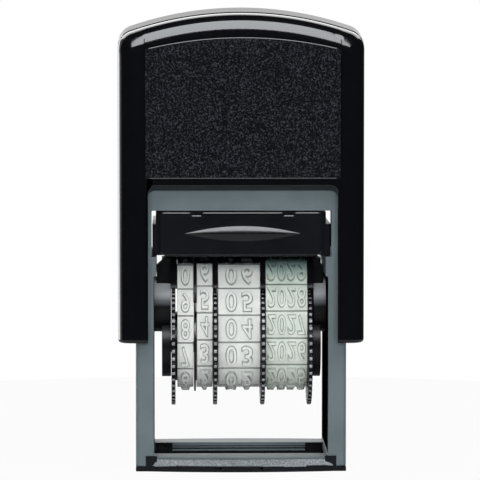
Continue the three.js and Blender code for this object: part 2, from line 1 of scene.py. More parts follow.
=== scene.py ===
from math import acos, atan, atan2, copysign, cos, degrees, hypot, pi, radians, sin, sqrt, tan

import bmesh
import bpy
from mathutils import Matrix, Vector


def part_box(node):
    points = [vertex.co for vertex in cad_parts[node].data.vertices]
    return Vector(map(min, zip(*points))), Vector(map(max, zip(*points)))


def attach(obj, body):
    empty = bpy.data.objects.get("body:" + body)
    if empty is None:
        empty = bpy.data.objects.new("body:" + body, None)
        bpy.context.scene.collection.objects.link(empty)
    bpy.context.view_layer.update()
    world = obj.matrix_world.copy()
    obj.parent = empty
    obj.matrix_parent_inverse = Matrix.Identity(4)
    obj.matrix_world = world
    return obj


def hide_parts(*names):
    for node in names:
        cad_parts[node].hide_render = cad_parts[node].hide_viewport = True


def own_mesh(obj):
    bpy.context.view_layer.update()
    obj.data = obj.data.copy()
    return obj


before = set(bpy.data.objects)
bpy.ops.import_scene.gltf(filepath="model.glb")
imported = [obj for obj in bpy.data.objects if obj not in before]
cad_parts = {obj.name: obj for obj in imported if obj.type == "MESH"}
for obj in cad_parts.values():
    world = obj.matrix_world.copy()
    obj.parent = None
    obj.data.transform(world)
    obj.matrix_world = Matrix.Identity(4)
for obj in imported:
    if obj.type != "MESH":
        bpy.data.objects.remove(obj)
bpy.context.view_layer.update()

# The finish of a self-inking date stamp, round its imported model. Lengths here are in millimetres,
# and new meshes turn them into metres. The front looks along -Y.

MM = 0.001


def corners(node):
    """Lowest and highest corner of a CAD node, in millimetres."""
    low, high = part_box(node)
    return low / MM, high / MM


def middle_height(node):
    low, high = corners(node)
    return (low.z + high.z) / 2


# Places read from the frame
cap_low, cap_high = corners("cap_shell")
CAP_HALF, CAP_FRONT, CROWN = cap_high
CAP_FOOT = cap_low.z
LEG_OUTER = corners("inner_frame")[1].x
AXLE_Z = middle_height("wheel_axle")
PIVOT_Z = middle_height("pivot_pin_right")
band_boxes = [corners(f"date_band_{n}") for n in (1, 2, 3, 4)]
TYPE_FACE = band_boxes[0][1].z
cartridge_low, cartridge_high = corners("ink_cartridge")
spring_low, spring_high = corners("return_spring")

# Small allowances
TOUCH = 0.02  # places this near count as one
HAIR = 0.02  # keeps the faces of joined shapes out of one plane
SUNK = 0.1  # how far a shape runs into what carries it
OVERRUN = 1  # of a cutting shape past what it cuts
MERGE = 0.003  # points this near become one
FLAT_ANGLE = radians(0.6)

# Cap
CROWN_RADIUS = 66
SHOULDER_RADIUS = 3.5
EDGE_RADIUS = 5.98
EDGE_TURN = radians(50)
EDGE_STEPS = 12
CREASE_DROP = 0.83
CREASE_RUN = 5.4
CREASE_SHARES = (0.02, 0.1, 0.25, 0.45, 0.65, 0.85, 1)  # of the run, where it has a section
CREASE_RADIUS = 2
CREASE_TURNS = 5
CREASE_STEP = 0.19  # height of a fine riser behind the crease
CREASE_TREAD = 0.16
ROOF_SHARES = (0.52, 0.64, 0.76, 0.88, 1)  # of the half depth, where the roof has a section
CORNER_RADIUS = 2.8
INNER_CORNER = 0.8
FRONT_CORNER = 1  # of the front's flat face, where a shoulder meets its arch
ROUND_STEPS = 10
DOME_FOOT = 78.5
WALL_STEPS = 5  # of rings up the walls, and of rows up the front
CAP_WALL = 2.1
ROOF_WALL = 2.2
SIDE_WALL = 2.5
RIM_ROUND = 0.7
FRONT_SHIFT = 0.33  # the front's details stand a little to the right
ZONE_HALF = 18.88  # the front's middle zone, set back a little between two fine steps
ZONE_STEP = 0.15  # width of such a step
ZONE_EDGE = 0.55  # from the zone to the next section line
ZONE_DEPTH = 0.14
WINDOW_HALF = 18.3
WINDOW_TOP = 55.47
WINDOW_SLANT = 0.9  # how far the window's upper edge comes down behind its face
WINDOW_CORNER = 1.4
WINDOW_ROUND = 0.3
PANEL_MARGIN = 0.06
PANEL_FOOT = 57.02
PANEL_DROP = 5.83
PANEL_ARCH = 80
PANEL_STEPS = 60
PANEL_EDGE = ((0.1, 0.3), (0, -0.01), (0.05, -0.05))  # its section: how far in, and behind the face
BEAD_REACH = 0.1
BEAD_HEIGHT = 0.06
PIN_SEAT_RADIUS = 2
PIN_SEAT_DEPTH = 1.3

# Stand and foot
LEG_FRONT = 14.6
LEG_ROUND = 0.8
STAND_ROUND = 0.12
OPENING_INNER = 16  # of the openings in the legs beside the cartridge
OPENING_NEAR = {-1: 17.26, 1: 17.45}  # their outer faces at the front, left and right
OPENING_FAR = 18.9  # and at the back
OPENING_MARGIN = 0.3
FOOT_TOP = 1
FOOT_PLATE_ROUND = 0.15
LIP_FROM = 14.2
LIP_SLOPES = (0.2, 0.97)  # a lip's upward share, from its steepest face to its flattest
LIP_TURN = 0.6  # and the most that it faces aside
LIP_AREA = 0.6  # in square millimetres, the least that it measures
BAR_INNER = 8.8
BLOCK_INNER = 16.3
BLOCK_OUTER = 18.5
BLOCK_TOP = 3
BLOCK_PROUD = 0.25
BLOCK_DEPTH = 1
BLOCK_ROUND = 0.15
CLIP_INNER = 13.3
CLIP_OUTER = 16.8
CLIP_TOP = 2.6
SHADE_RIBS = ((1.4, 1.66), (1.9, 2.06))  # black strips along the rear bar's inner face, painted shade
RIB_PROUD = 0.06
RIB_ROUND = 0.03
INLAY_ROUND = 0.15

# Cartridge
BODY_INSET = 0.6
BODY_CORNER = 0.5
FLANGE_REACH = 0.48
FLANGE_OUT = 0.2
FLANGE_HEIGHT = 6.05
FLANGE_INSET = 0.7
FLANGE_CORNER = 0.4
PLATE_INSET = 0.7
PLATE_CORNER = 1
PLATE_CHAMFER = 0.2
PLATE_DEPTH = 1.8
PLATE_ROUND = 0.2
TAIL_FROM = 9  # a lip that hangs from the cartridge's rear
TAIL_ENDS = (-14.9, 15.8)
TAIL_DROP = 2.5
TAIL_DEPTH = 1
TAIL_CORNER = 0.3
TAIL_SUNK = 0.5
NOTCH_SPACING = 18
NOTCH_WIDTH = 2.6
NOTCH_DEPTH = 0.6
NOTCH_PLACES = (1.5, 3)  # behind the front, where a notch's cut is square
NOTCH_CORNER = 0.2
NOTCH_SLOPE = ((0.5, 0), (0.34, 1), (-0.34, 1), (-0.5, 0))  # shares of a notch's width and depth
GRIP_WIDTH = 22.4
GRIP_HEIGHT = 2.9
GRIP_BULGE = 0.6
GRIP_DROP = 4.15
GRIP_POWER = 1.6
GRIP_TIP = 0.998  # where the lens stops, short of a point
GRIP_SUNK = 0.5
GRIP_STEPS = (60, 24)  # along the lens, and across it
PAD_GAP = 0.25
PAD_CORNER = 0.6
PAD_ROUND = 0.4

# Side plates and pins
SIDE_REACH = 0.22  # of the right plate's inner face, towards the wheels
SIDE_ENDS = ((16.6, 0.28), (16.28, 0.1))  # outer faces, and how far each is drawn out
SIDE_EDGE = 0.1
BOSS_INSET = 0.05  # from the side plate's inner face
BOSS_TO = 16.88
BOSS_RADIUS = 5.45
BOSS_BORE = 2.1
BOSS_ROUND = 0.15
BOSS_SIDES = 60
BORE_SIDES = 48
PIN_ROUND = 0.2

# Setting wheels
DISC_RADIUS = 11.6
DISC_THICKNESS = 0.78
DISC_SHIFT = 0.22  # the first disc stands a little out to the left
DISC_GROOVE = ((8.6, 0), (9, 0.08), (10.3, 0.08), (10.6, 0))  # radii in a disc's face, and depths
TIP_CHAMFER = 0.12
TIP_DEPTH = 0.2  # of a tooth's tip, which carries a painted glint
TOOTH_DEPTH = 0.65
TOOTH_FLANK = 1.1
TOOTH_STEPS = 10
TEETH = 48
DRUM_RADIUS = 6.8
BORE_RADIUS = 1.45
COLLAR_WHEEL = 2  # the wheel whose drum has a thin collar at its left end
COLLAR_RADIUS = 8.9
COLLAR_THICKNESS = 0.35

# Belts and type
ROWS = 13
BELT_RADIUS = 8.1
BELT_THICKNESS = 1
BELT_EDGE = 0.1
BELT_STEPS = 16
ARCH_STEPS = 240
FIN_LIFT = 0.25  # of the platen's fins above the belts' outside
LANE_GAP = 0.04  # beside a belt
CORE_GAP = 0.3  # from the platen to the belts' inside, and to the discs
TYPE_HEIGHT = 0.6
FLANK_RADIUS = 18
FLANK_TURN = radians(40)
NOSE_RADIUS = 1.6
BAND_SHIFTS = (1.85, 1.25, 1.75, 0.95)
ROW_GROOVE = 0.34
GROOVE_FLOOR = 0.6  # its share of a groove's width
GROOVE_DEPTH = 0.4
GLYPH_HEIGHT = 4.1
GLYPH_STEP = 0.55
GLYPH_WIDTHS = ((1.8, 0), (1.8, 0), (2.3, 3.1), (1.7, 1.95))  # of each band: a digit, and its pitch
GLYPH_FLAT = 0.995  # a face that looks out this squarely isn't a flank
DRAFT = 0.04  # of the glyphs' flanks, as a share of the font's size
NARROW_SHARE = 0.62  # width of a 1
FIRST_DIGITS = (1, 7)  # in row 0 of the first two bands
FIRST_MONTH = 7
LAST_YEAR = 2030
INK_REACH = 8  # below the type face, the height that ink can stain
INK_UNEVEN = 0.08

# Return spring
SPRING_TURNS = 7
SPRING_STEPS = 36
WIRE_RADIUS = 0.45
WIRE_SIDES = 10

# Moulded surfaces
MOTTLE = 6
MOTTLE_SPAN = (0.35, 0.65)
SHEEN_LUMPS = 2.5
MOULD_WAVES = 9

# Camera, which stands level with the crown and looks down a little, and the studio
CAMERA_DISTANCE = 686
CAMERA_AZIMUTH = radians(-1.1)
CAMERA_TILT = radians(3.821)
CAMERA_LENS = 261.1
SENSOR_WIDTH = 36
AIM_ASIDE = 0.08  # the camera looks a little to the right of the middle
FLOOR_RADIUS = 160
FLOOR_SIDES = 96
FLOOR_GAP = 0.02
FLOOR_TONE = 0.8
FLOOR_GLOW = 0.94  # share of white that the camera sees on the floor, beside its shadow
STUDIO_SPAN = (0.45, 0.85)  # across the studio, from where it is dim to where it is white
STUDIO_DIM = 0.03
STUDIO_LEAN = -0.5  # the white is behind, and by this share to the left
STUDIO_DIFFUSE = 0.25  # what diffuse light gets from it, the same all round


# Mesh helpers

def put(name, data):
    """A new object in the scene."""
    obj = bpy.data.objects.new(name, data)
    bpy.context.scene.collection.objects.link(obj)
    return obj


def new_mesh(points, faces):
    mesh = bpy.data.meshes.new("mesh")
    mesh.from_pydata([Vector(p) * MM for p in points], [], faces)
    mesh.validate()
    return mesh


def to_bmesh(*meshes):
    """Meshes put together as one, their shells left as they are."""
    bm = bmesh.new()
    for mesh in meshes:
        bm.from_mesh(mesh)
    return bm


def from_bmesh(bm):
    mesh = bpy.data.meshes.new("mesh")
    bm.to_mesh(mesh)
    bm.free()
    return mesh


def smooth(mesh, angle):
    """Smooth shading, with edges above the angle kept sharp."""
    bm = to_bmesh(mesh)
    bmesh.ops.recalc_face_normals(bm, faces=bm.faces)
    for face in bm.faces:
        face.smooth = True
    for edge in bm.edges:
        edge.smooth = edge.is_manifold and edge.calc_face_angle(0) < radians(angle)
    bm.to_mesh(mesh)
    bm.free()


def add_piece(name, mesh, body, materials, nodes=(), angle=30, weighted=True):
    """A finished piece that rides on a body and stands for CAD nodes."""
    smooth(mesh, angle)
    mesh.name = name
    piece = put(name, mesh)
    for material in materials:
        mesh.materials.append(material)
    if weighted:
        piece.modifiers.new("even_shading", "WEIGHTED_NORMAL").keep_sharp = True
    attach(piece, body)
    if nodes:
        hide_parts(*nodes)
    return piece


def everywhere(middle, direction):
    return True


def bevel_where(bm, width, segments, test, sharp):
    """Rounds the edges above an angle for which test(middle, direction) holds."""
    chosen = []
    for edge in bm.edges:
        if not edge.is_manifold or edge.calc_face_angle(0) < radians(sharp):
            continue
        a, b = (vert.co / MM for vert in edge.verts)
        if test((a + b) / 2, (b - a).normalized()):
            chosen.append(edge)
    bmesh.ops.bevel(
        bm, geom=chosen, offset=width * MM, offset_type="OFFSET", segments=segments, profile=0.5,
        affect="EDGES", clamp_overlap=False,
    )


def flattened(bm):
    """The bmesh with its flat faces whole again."""
    bmesh.ops.dissolve_limit(bm, angle_limit=FLAT_ANGLE, verts=bm.verts, edges=bm.edges)
    return bm


def cad_copy(node):
    """A CAD node's solid as a bmesh."""
    bm = to_bmesh(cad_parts[node].data)
    bmesh.ops.remove_doubles(bm, verts=bm.verts, dist=MERGE * MM)
    return flattened(bm)


def refined(node, width, segments=2, sharp=25):
    """A CAD node's solid with its edges rounded."""
    bm = cad_copy(node)
    bevel_where(bm, width, segments, everywhere, sharp)
    return from_bmesh(bm)


def rings_to_faces(count, rings, closed=True, looped=False):
    """Quads between rings of points that follow each other; looped joins the last to the first."""
    faces = []
    for ring in range(rings if looped else rings - 1):
        here, ahead = ring * count, (ring + 1) % rings * count
        for i in range(count if closed else count - 1):
            j = (i + 1) % count
            faces.append((here + i, here + j, ahead + j, ahead + i))
    return faces


def combined(mesh, joins=(), cuts=()):
    """mesh with some shapes joined on, and then others taken away."""
    for operation, tools in (("UNION", joins), ("DIFFERENCE", cuts)):
        for cutter in tools:
            body, tool = put("boolean_body", mesh), put("boolean_tool", cutter)
            change = body.modifiers.new("change", "BOOLEAN")
            change.operation = operation
            change.object = tool
            change.solver = "EXACT"
            graph = bpy.context.evaluated_depsgraph_get()
            mesh = bpy.data.meshes.new_from_object(body.evaluated_get(graph))
            for obj in (body, tool):
                bpy.data.objects.remove(obj)
    return mesh


def arc(centre, radius, start, end, steps):
    """Points on an arc in a plane, angles in degrees."""
    points = []
    for k in range(steps + 1):
        angle = radians(start + (end - start) * k / steps)
        points.append((centre[0] + radius * cos(angle), centre[1] + radius * sin(angle)))
    return points


def circle(centre, radius, sides):
    return arc(centre, radius, 0, 360 - 360 / sides, sides - 1)


def rounded_rectangle(x0, x1, z0, z1, radius, steps=5):
    points = []
    x0, x1, z0, z1 = x0 + radius, x1 - radius, z0 + radius, z1 - radius
    for x, z, start in ((x1, z1, 0), (x0, z1, 90), (x0, z0, 180), (x1, z0, 270)):
        points += arc((x, z), radius, start, start + 90, steps)
    return points


def lofted(rings):
    """A closed skin through rings of points that follow each other."""
    count = len(rings[0])
    points = [p for ring in rings for p in ring]
    faces = rings_to_faces(count, len(rings))
    faces += [tuple(range(count)), tuple(range(len(points) - count, len(points)))]
    bm = to_bmesh(new_mesh(points, faces))
    bmesh.ops.recalc_face_normals(bm, faces=bm.faces)
    return from_bmesh(bm)


def prism(outline, axis, start, end):
    """A closed prism: an outline in the other two axes, drawn along X or Z."""
    return lofted([
        [(along, *p) if axis == "x" else (*p, along) for p in outline] for along in (start, end)
    ])


# Materials

SPECULAR = "Specular IOR Level"


def wire(tree, node, inputs):
    """Gives a node its inputs, each a plain value or the output of another node."""
    for key, given in inputs.items():
        if isinstance(given, bpy.types.NodeSocket):
            tree.links.new(given, node.inputs[key])
        else:
            node.inputs[key].default_value = given


def new_node(tree, kind, inputs, **settings):
    node = tree.nodes.new(f"ShaderNode{kind}")
    for setting, value in settings.items():
        setattr(node, setting, value)
    wire(tree, node, inputs)
    return node


def shader_nodes(name):
    material = bpy.data.materials.new(name)
    material.use_nodes = True
    tree = material.node_tree
    where = new_node(tree, "TexCoord", {}).outputs["Object"]
    return material, tree, tree.nodes["Principled BSDF"], where


def srgb(levels):
    """A colour given as levels from 0 to 255, made linear."""
    linear = [
        level / 255 / 12.92 if level / 255 <= 0.04045 else ((level / 255 + 0.055) / 1.055) ** 2.4
        for level in levels
    ]
    return (*linear, 1)


def noise_field(tree, where, size, detail=3, roughness=0.5, stretch=(1, 1, 1)):
    """Noise whose lumps measure about size, in millimetres."""
    mapping = new_node(tree, "Mapping", {"Vector": where, "Scale": stretch})
    look = {"Scale": 1 / (size * MM), "Detail": detail, "Roughness": roughness}
    return new_node(tree, "TexNoise", {"Vector": mapping.outputs["Vector"], **look}).outputs["Fac"]


def height_share(tree, where, start, end):
    """0 at one height and 1 at another, in millimetres."""
    parts = new_node(tree, "SeparateXYZ", {"Vector": where})
    reach = {"Value": parts.outputs["Z"], "From Min": start * MM, "From Max": end * MM}
    return new_node(tree, "MapRange", reach).outputs["Result"]


def ramp(tree, value, stops):
    """A colour ramp; stops are (place, levels)."""
    node = new_node(tree, "ValToRGB", {"Fac": value})
    elements = node.color_ramp.elements
    for share, _ in stops[2:]:
        elements.new(share)
    for element, (share, levels) in zip(elements, stops):
        element.position = share
        element.color = srgb(levels)
    return node.outputs["Color"]


def scaled(tree, value, low, high):
    """A 0 to 1 value spread over another range."""
    return new_node(tree, "MapRange", {"Value": value, "To Min": low, "To Max": high}).outputs["Result"]


def bump(tree, height, depth, under=None):
    """A bump whose full height measures depth, in millimetres."""
    inputs = {"Height": height, "Strength": 1, "Distance": depth * MM}
    if under is not None:
        inputs["Normal"] = under
    return new_node(tree, "Bump", inputs).outputs["Normal"]


def plastic(name, tones, rough, grain, grain_depth, wave_depth=0, specular=0.5, heights=None):
    """Moulded plastic: its tones, a grain, and the slow waves of the moulding.

    Its two tones are mottled, or with heights its tones are stops from one height to the other.
    """
    material, tree, shader, where = shader_nodes(name)
    if heights:
        tone = ramp(tree, height_share(tree, where, *heights), tones)
    else:
        tone = ramp(tree, noise_field(tree, where, MOTTLE), list(zip(MOTTLE_SPAN, tones)))
    sheen = scaled(tree, noise_field(tree, where, SHEEN_LUMPS, 5), *rough)
    normal = bump(tree, noise_field(tree, where, grain, 2), grain_depth)
    if wave_depth:
        normal = bump(tree, noise_field(tree, where, MOULD_WAVES, 1), wave_depth, normal)
    wire(tree, shader, {"Base Color": tone, "Roughness": sheen, SPECULAR: specular, "Normal": normal})
    return material


def rubber(name, tones, stains):
    """Pale moulded rubber; stains are the tones of the ink that soaked in, by depth under the type."""
    material, tree, shader, where = shader_nodes(name)
    tone = ramp(tree, noise_field(tree, where, 1.8, 4), list(zip((0.3, 0.6), tones)))
    depth = height_share(tree, where, TYPE_FACE, TYPE_FACE - INK_REACH)
    lumps = {0: noise_field(tree, where, 0.5, 3), 1: INK_UNEVEN, 2: depth}
    uneven = new_node(tree, "Math", lumps, operation="MULTIPLY_ADD")
    stops = [(INK_UNEVEN / 2 + reach / INK_REACH, stain) for reach, stain in stains]
    stain = ramp(tree, uneven.outputs["Value"], stops + [(1, (255, 255, 255))])
    colours = {0: 1, 6: tone, 7: stain}  # the node's sockets for a factor and two colours
    mix = new_node(tree, "Mix", colours, data_type="RGBA", blend_type="MULTIPLY")
    normal = bump(tree, noise_field(tree, where, 0.35, 3), 0.012)
    wire(tree, shader, {"Base Color": mix.outputs[2], "Roughness": 0.42, "Normal": normal})
    return material


def pitted(name, field, stops, rough, depth, **look):
    """A surface whose tone, roughness and bump follow one noise, such as a spark-eroded grain."""
    material, tree, shader, where = shader_nodes(name)
    noise = noise_field(tree, where, *field)
    wire(tree, shader, {
        "Base Color": ramp(tree, noise, stops),
        "Roughness": scaled(tree, noise, *rough) if isinstance(rough, tuple) else rough,
        "Normal": bump(tree, noise, depth),
        **look,
    })
    return material


BLACK = ((12, 15, 19), (17, 20, 25))
GLOSS = ((9, 10, 14), (11, 12, 16))
cap_gloss = plastic("cap_gloss", GLOSS, (0.07, 0.13), 0.5, 0.0006, wave_depth=0.004)
stand_gray = plastic("stand_gray", ((94, 108, 112), (103, 116, 121)), (0.42, 0.52), 0.14, 0.004)
part_black = plastic("part_black", BLACK, (0.2, 0.27), 0.16, 0.003)
foot_black = plastic("foot_black", BLACK, (0.24, 0.32), 0.16, 0.003, specular=0.25)
unit_black = plastic("unit_black", ((10, 11, 14), (14, 15, 18)), (0.34, 0.42), 0.16, 0.004)
grip_black = plastic("grip_black", ((14, 16, 20), (19, 21, 26)), (0.2, 0.28), 0.16, 0.002)
wheel_black = plastic("wheel_black", ((12, 13, 16), (20, 22, 26)), (0.22, 0.34), 0.2, 0.003)
# Light gray on the teeth's tips: a painted glint.
painted_tip_glint = plastic("painted_tip_glint", ((120, 124, 127), (176, 180, 183)), (0.3, 0.4), 0.16, 0.004)
inlay_black = plastic("inlay_black", ((7, 8, 10), (11, 12, 15)), (0.6, 0.7), 0.16, 0.006, specular=0)
# The boss's tones are painted light: black below the pivot's height, and a painted highlight over its
# upper half.
boss_highlight_stops = (
    (0.49, (9, 10, 13)), (0.6, (106, 112, 117)), (0.72, (190, 196, 201)), (0.9, (206, 212, 216)),
    (1, (160, 166, 170)),
)
boss_highlight_heights = (PIVOT_Z - BOSS_RADIUS, PIVOT_Z + BOSS_RADIUS)
boss_painted_highlight = plastic("boss_painted_highlight", boss_highlight_stops, (0.34, 0.42), 0.16, 0.004, heights=boss_highlight_heights)
# The field's grain is a real bump; its pale specks are painted glints.
grain_glint_stops = ((0.5, (6, 8, 11)), (0.7, (72, 77, 84)))
cap_grain_glints = pitted("cap_grain_glints", (0.34, 4, 0.75), grain_glint_stops, (0.4, 0.62), 0.06, **{SPECULAR: 0.08})
# The lips' grain is a real bump; their light gray on the black plate is painted sheen.
lip_sheen_stops = ((0.38, (84, 92, 97)), (0.64, (140, 148, 153)))
lip_grain_and_sheen = pitted("lip_grain_and_sheen", (0.4, 4, 0.75), lip_sheen_stops, (0.4, 0.55), 0.06)
type_stains = ((1.2, (10, 14, 18)), (1.5, (214, 219, 221)), (3, (250, 251, 251)))
year_stains = (
    (0.3, (38, 56, 60)), (0.9, (126, 150, 154)), (2.2, (170, 192, 194)), (4.4, (243, 250, 246)),
)
# Each band's second tone is painted shade: darker gray on the digits' flanks and in the grooves between
# rows.
type_tones = [
    rubber("type_white", ((228, 233, 229), (240, 243, 240)), type_stains),
    rubber("type_flank_shade", ((158, 163, 162), (176, 180, 179)), type_stains),
]
year_tones = [
    rubber("year_white", ((220, 229, 220), (236, 242, 234)), year_stains),
    rubber("year_flank_shade", ((156, 166, 158), (174, 184, 176)), year_stains),
]
drawn = (0.4, 4, 0.6, (0.2, 1, 1))
steel_stops = ((0.3, (150, 152, 156)), (0.7, (190, 192, 196)))
spring_steel = pitted("spring_steel", drawn, steel_stops, (0.2, 0.38), 0.01, Metallic=1)
fibres = (0.22, 6, 0.8, (1, 1, 0.3))
felt_stops = ((0.35, (14, 16, 26)), (0.75, (44, 48, 66)))
pad_felt = pitted("pad_felt", fibres, felt_stops, 0.95, 0.15, **{"Sheen Weight": 0.4})


# Cap

def arch_top(x, crown, radius):
    return crown - radius + sqrt(radius**2 - x**2)


def cap_columns():
    """Places across the front, from left to right, with the zone's steps among them."""
    reaches = (ZONE_HALF, ZONE_HALF + ZONE_STEP, ZONE_HALF + ZONE_EDGE)
    whole = int(ZONE_HALF)
    left = [FRONT_SHIFT - reach for reach in reversed(reaches)]
    right = [FRONT_SHIFT + reach for reach in reaches]
    return left + [float(x) for x in range(-whole, whole + 1)] + right


class CapForm:
    """One skin of the cap, as its upright sections one behind the other."""

    def __init__(self, half, front, corner, crown, radius, edge, shoulder, set_back):
        self.half, self.front, self.corner = half, front, corner
        self.crown, self.radius = crown, radius
        self.edge, self.shoulder, self.set_back = edge, shoulder, set_back
        slope = pi / 2 - atan(CREASE_DROP / CREASE_RUN)
        self.profile = []
        for k in range(EDGE_STEPS + 1):
            turn = EDGE_TURN * k / EDGE_STEPS
            self.profile.append((edge * (1 - cos(turn)), edge * sin(turn)))
        depth, height = self.profile[-1]
        self.fillet_depth = depth
        for k in range(1, CREASE_TURNS + 1):
            turn = EDGE_TURN + (slope - EDGE_TURN) * k / CREASE_TURNS
            self.profile.append((
                depth + CREASE_RADIUS * (cos(EDGE_TURN) - cos(turn)),
                height + CREASE_RADIUS * (sin(turn) - sin(EDGE_TURN)),
            ))
        depth, height = self.profile[-1]
        depth += CREASE_TREAD
        height += CREASE_STEP
        for share in (0,) + CREASE_SHARES:
            self.profile.append((depth + CREASE_RUN * share, height + CREASE_DROP * share))
        self.rise = height + CREASE_DROP

    def depths(self):
        corner_turns = [radians(90 * k / ROUND_STEPS) for k in range(ROUND_STEPS + 1)]
        corner_depths = [self.corner * (1 - cos(turn)) for turn in corner_turns]
        rest = [self.front * share for share in ROOF_SHARES]
        return sorted(corner_depths + [depth for depth, _ in self.profile[1:]] + rest)

    def drop(self, depth):
        """How far the arch lies under its crown line at a depth behind the front."""
        if depth < self.fillet_depth:
            return self.rise - sqrt(self.edge**2 - (self.edge - depth) ** 2)
        for (near, low), (far, high) in zip(self.profile, self.profile[1:]):
            if near <= depth <= far:
                return self.rise - low - (high - low) * (depth - near) / max(far - near, 1e-9)
        return 0

    def side(self, depth):
        """How far the side stands out at a depth, round the upright corner."""
        if depth >= self.corner:
            return self.half
        return self.half - self.corner + sqrt(self.corner**2 - (self.corner - depth) ** 2)

    def arch(self, x, depth):
        return arch_top(x, self.crown, self.radius) - self.drop(depth)

    def y(self, x, depth):
        """The front's middle zone lies a little behind its sides, less and less up the edge."""
        in_zone = abs(x - FRONT_SHIFT) <= ZONE_HALF
        fade = max(0, 1 - depth / self.fillet_depth)
        return depth - self.front + self.set_back * in_zone * fade

    def section(self, depth):
        """The outline at a depth, from the right side's foot over the top to the left."""
        side, drop = self.side(depth), self.drop(depth)
        start = min(FRONT_CORNER, self.shoulder / 2)
        radius = self.shoulder - (self.shoulder - start) * (self.half - side) / self.corner
        centre_x = side - radius
        arch_z = self.crown - self.radius - drop
        centre_z = arch_z + sqrt((self.radius - radius) ** 2 - centre_x**2)
        end = degrees(atan2(centre_z - arch_z, centre_x))
        shoulder = [(side, DOME_FOOT + (centre_z - DOME_FOOT) * k / 3) for k in range(3)]
        shoulder += arc((centre_x, centre_z), radius, 0, end, ROUND_STEPS)
        columns = cap_columns()
        bridges = [(shoulder[-1][0] + reach) / 2 for reach in (columns[-1], -columns[0])]
        right, left = (shoulder + [(bridge, self.arch(bridge, depth))] for bridge in bridges)
        outline = right + [(x, self.arch(x, depth)) for x in reversed(columns)]
        outline += [(-x, z) for x, z in reversed(left)]
        return [(x, self.y(x, depth), z) for x, z in outline]

    def skin(self, foot):
        """Points and faces of the whole skin, its lowest ring first; foot is (inset, height)."""
        depths, columns = self.depths(), cap_columns()
        corner = []
        for depth in depths:
            lean = acos(max(0, 1 - depth / self.corner))
            corner.append((self.side(depth), depth - self.front, sin(lean), -cos(lean)))
        front = [(-x, y, -nx, ny) for x, y, nx, ny in reversed(corner)]
        front += [(x, self.y(x, 0), 0, -1) for x in columns] + corner
        stations = front + [(x, -y, nx, -ny) for x, y, nx, ny in reversed(front)]
        rings = [[(x - nx * inset, y - ny * inset, z) for x, y, nx, ny in stations] for inset, z in foot]
        low = foot[-1][1]
        for k in range(1, WALL_STEPS + 1):
            height = low + (DOME_FOOT - low) * k / WALL_STEPS
            rings.append([(x, y, height) for x, y, _, _ in stations])
        points = [point for ring in rings for point in ring]
        faces = rings_to_faces(len(stations), len(rings))

        def grid(rows):
            first, count = len(points), len(rows[0])
            for row in rows:
                points.extend(row)
            for face in rings_to_faces(count, len(rows), closed=False):
                faces.append(tuple(first + i for i in face))

        sections = [self.section(depth) for depth in depths]
        mirrored = [[(x, -y, z) for x, y, z in section] for section in reversed(sections)]
        grid(sections + mirrored)
        before = (len(sections[0]) - len(columns)) // 2
        for section in (sections[0], mirrored[-1]):
            top = section[before:before + len(columns)]
            rows = [
                [(x, y, DOME_FOOT + (z - DOME_FOOT) * k / WALL_STEPS) for x, y, z in top]
                for k in range(WALL_STEPS + 1)
            ]
            grid(rows)
            for edge, column in ((section[:before + 1], 0), (section[-before - 1:][::-1], -1)):
                outline = edge + [row[column] for row in reversed(rows[:-1])]
                faces.append(tuple(range(len(points), len(points) + len(outline))))
                points.extend(outline)
        return points, faces, len(stations)


def window_cut():
    """The window's opening, through the front and the back; its upper edge slants."""
    face, behind, beyond = CAP_FRONT - ZONE_DEPTH, CAP_FRONT - CAP_WALL, CAP_FRONT + OVERRUN
    rings = []
    for y in (-beyond, -behind, behind, beyond):
        top = WINDOW_TOP - WINDOW_SLANT * (face - abs(y)) / (face - behind)
        outline = [(-WINDOW_HALF, CAP_FOOT - OVERRUN), (WINDOW_HALF, CAP_FOOT - OVERRUN)]
        for x, start in ((WINDOW_HALF - WINDOW_CORNER, 0), (WINDOW_CORNER - WINDOW_HALF, 90)):
            outline += arc((x, top - WINDOW_CORNER), WINDOW_CORNER, start, start + 90, 8)
        rings.append([(x + FRONT_SHIFT, y, z) for x, z in outline])
    return lofted(rings)


def cap_shell():
    foot = [(RIM_ROUND, CAP_FOOT)]
    foot += [(RIM_ROUND - a, CAP_FOOT + RIM_ROUND - b) for a, b in arc((0, 0), RIM_ROUND, 80, 0, 5)]
    outer = CapForm(
        CAP_HALF, CAP_FRONT, CORNER_RADIUS, CROWN, CROWN_RADIUS, EDGE_RADIUS, SHOULDER_RADIUS, ZONE_DEPTH
    )
    inner = CapForm(
        CAP_HALF - SIDE_WALL, CAP_FRONT - CAP_WALL, INNER_CORNER, CROWN - ROOF_WALL,
        CROWN_RADIUS - ROOF_WALL, EDGE_RADIUS - CAP_WALL, SHOULDER_RADIUS - ROOF_WALL / 2, 0,
    )
    points, faces, count = outer.skin(foot)
    inner_points, inner_faces, _ = inner.skin([(0, CAP_FOOT)])
    first = len(points)
    faces += [tuple(first + i for i in face) for face in inner_faces]
    for i in range(count):
        j = (i + 1) % count
        faces.append((i, j, first + j, first + i))
    bm = to_bmesh(new_mesh(points + inner_points, faces))
    bmesh.ops.remove_doubles(bm, verts=bm.verts, dist=MERGE * MM)
    bmesh.ops.recalc_face_normals(bm, faces=bm.faces)
    seat = CAP_HALF - SIDE_WALL + PIN_SEAT_DEPTH
    pin_seat = prism(circle((0, PIVOT_Z), PIN_SEAT_RADIUS, BORE_SIDES), "x", -seat, seat)
    bm = to_bmesh(combined(from_bmesh(bm), cuts=(window_cut(), pin_seat)))

    def on_window_edge(middle, direction):
        on_face = abs(abs(middle.y) - CAP_FRONT + ZONE_DEPTH) < TOUCH
        return on_face and abs(middle.x - FRONT_SHIFT) < WINDOW_HALF + TOUCH

    bevel_where(bm, WINDOW_ROUND, 4, on_window_edge, 60)
    return from_bmesh(bm)


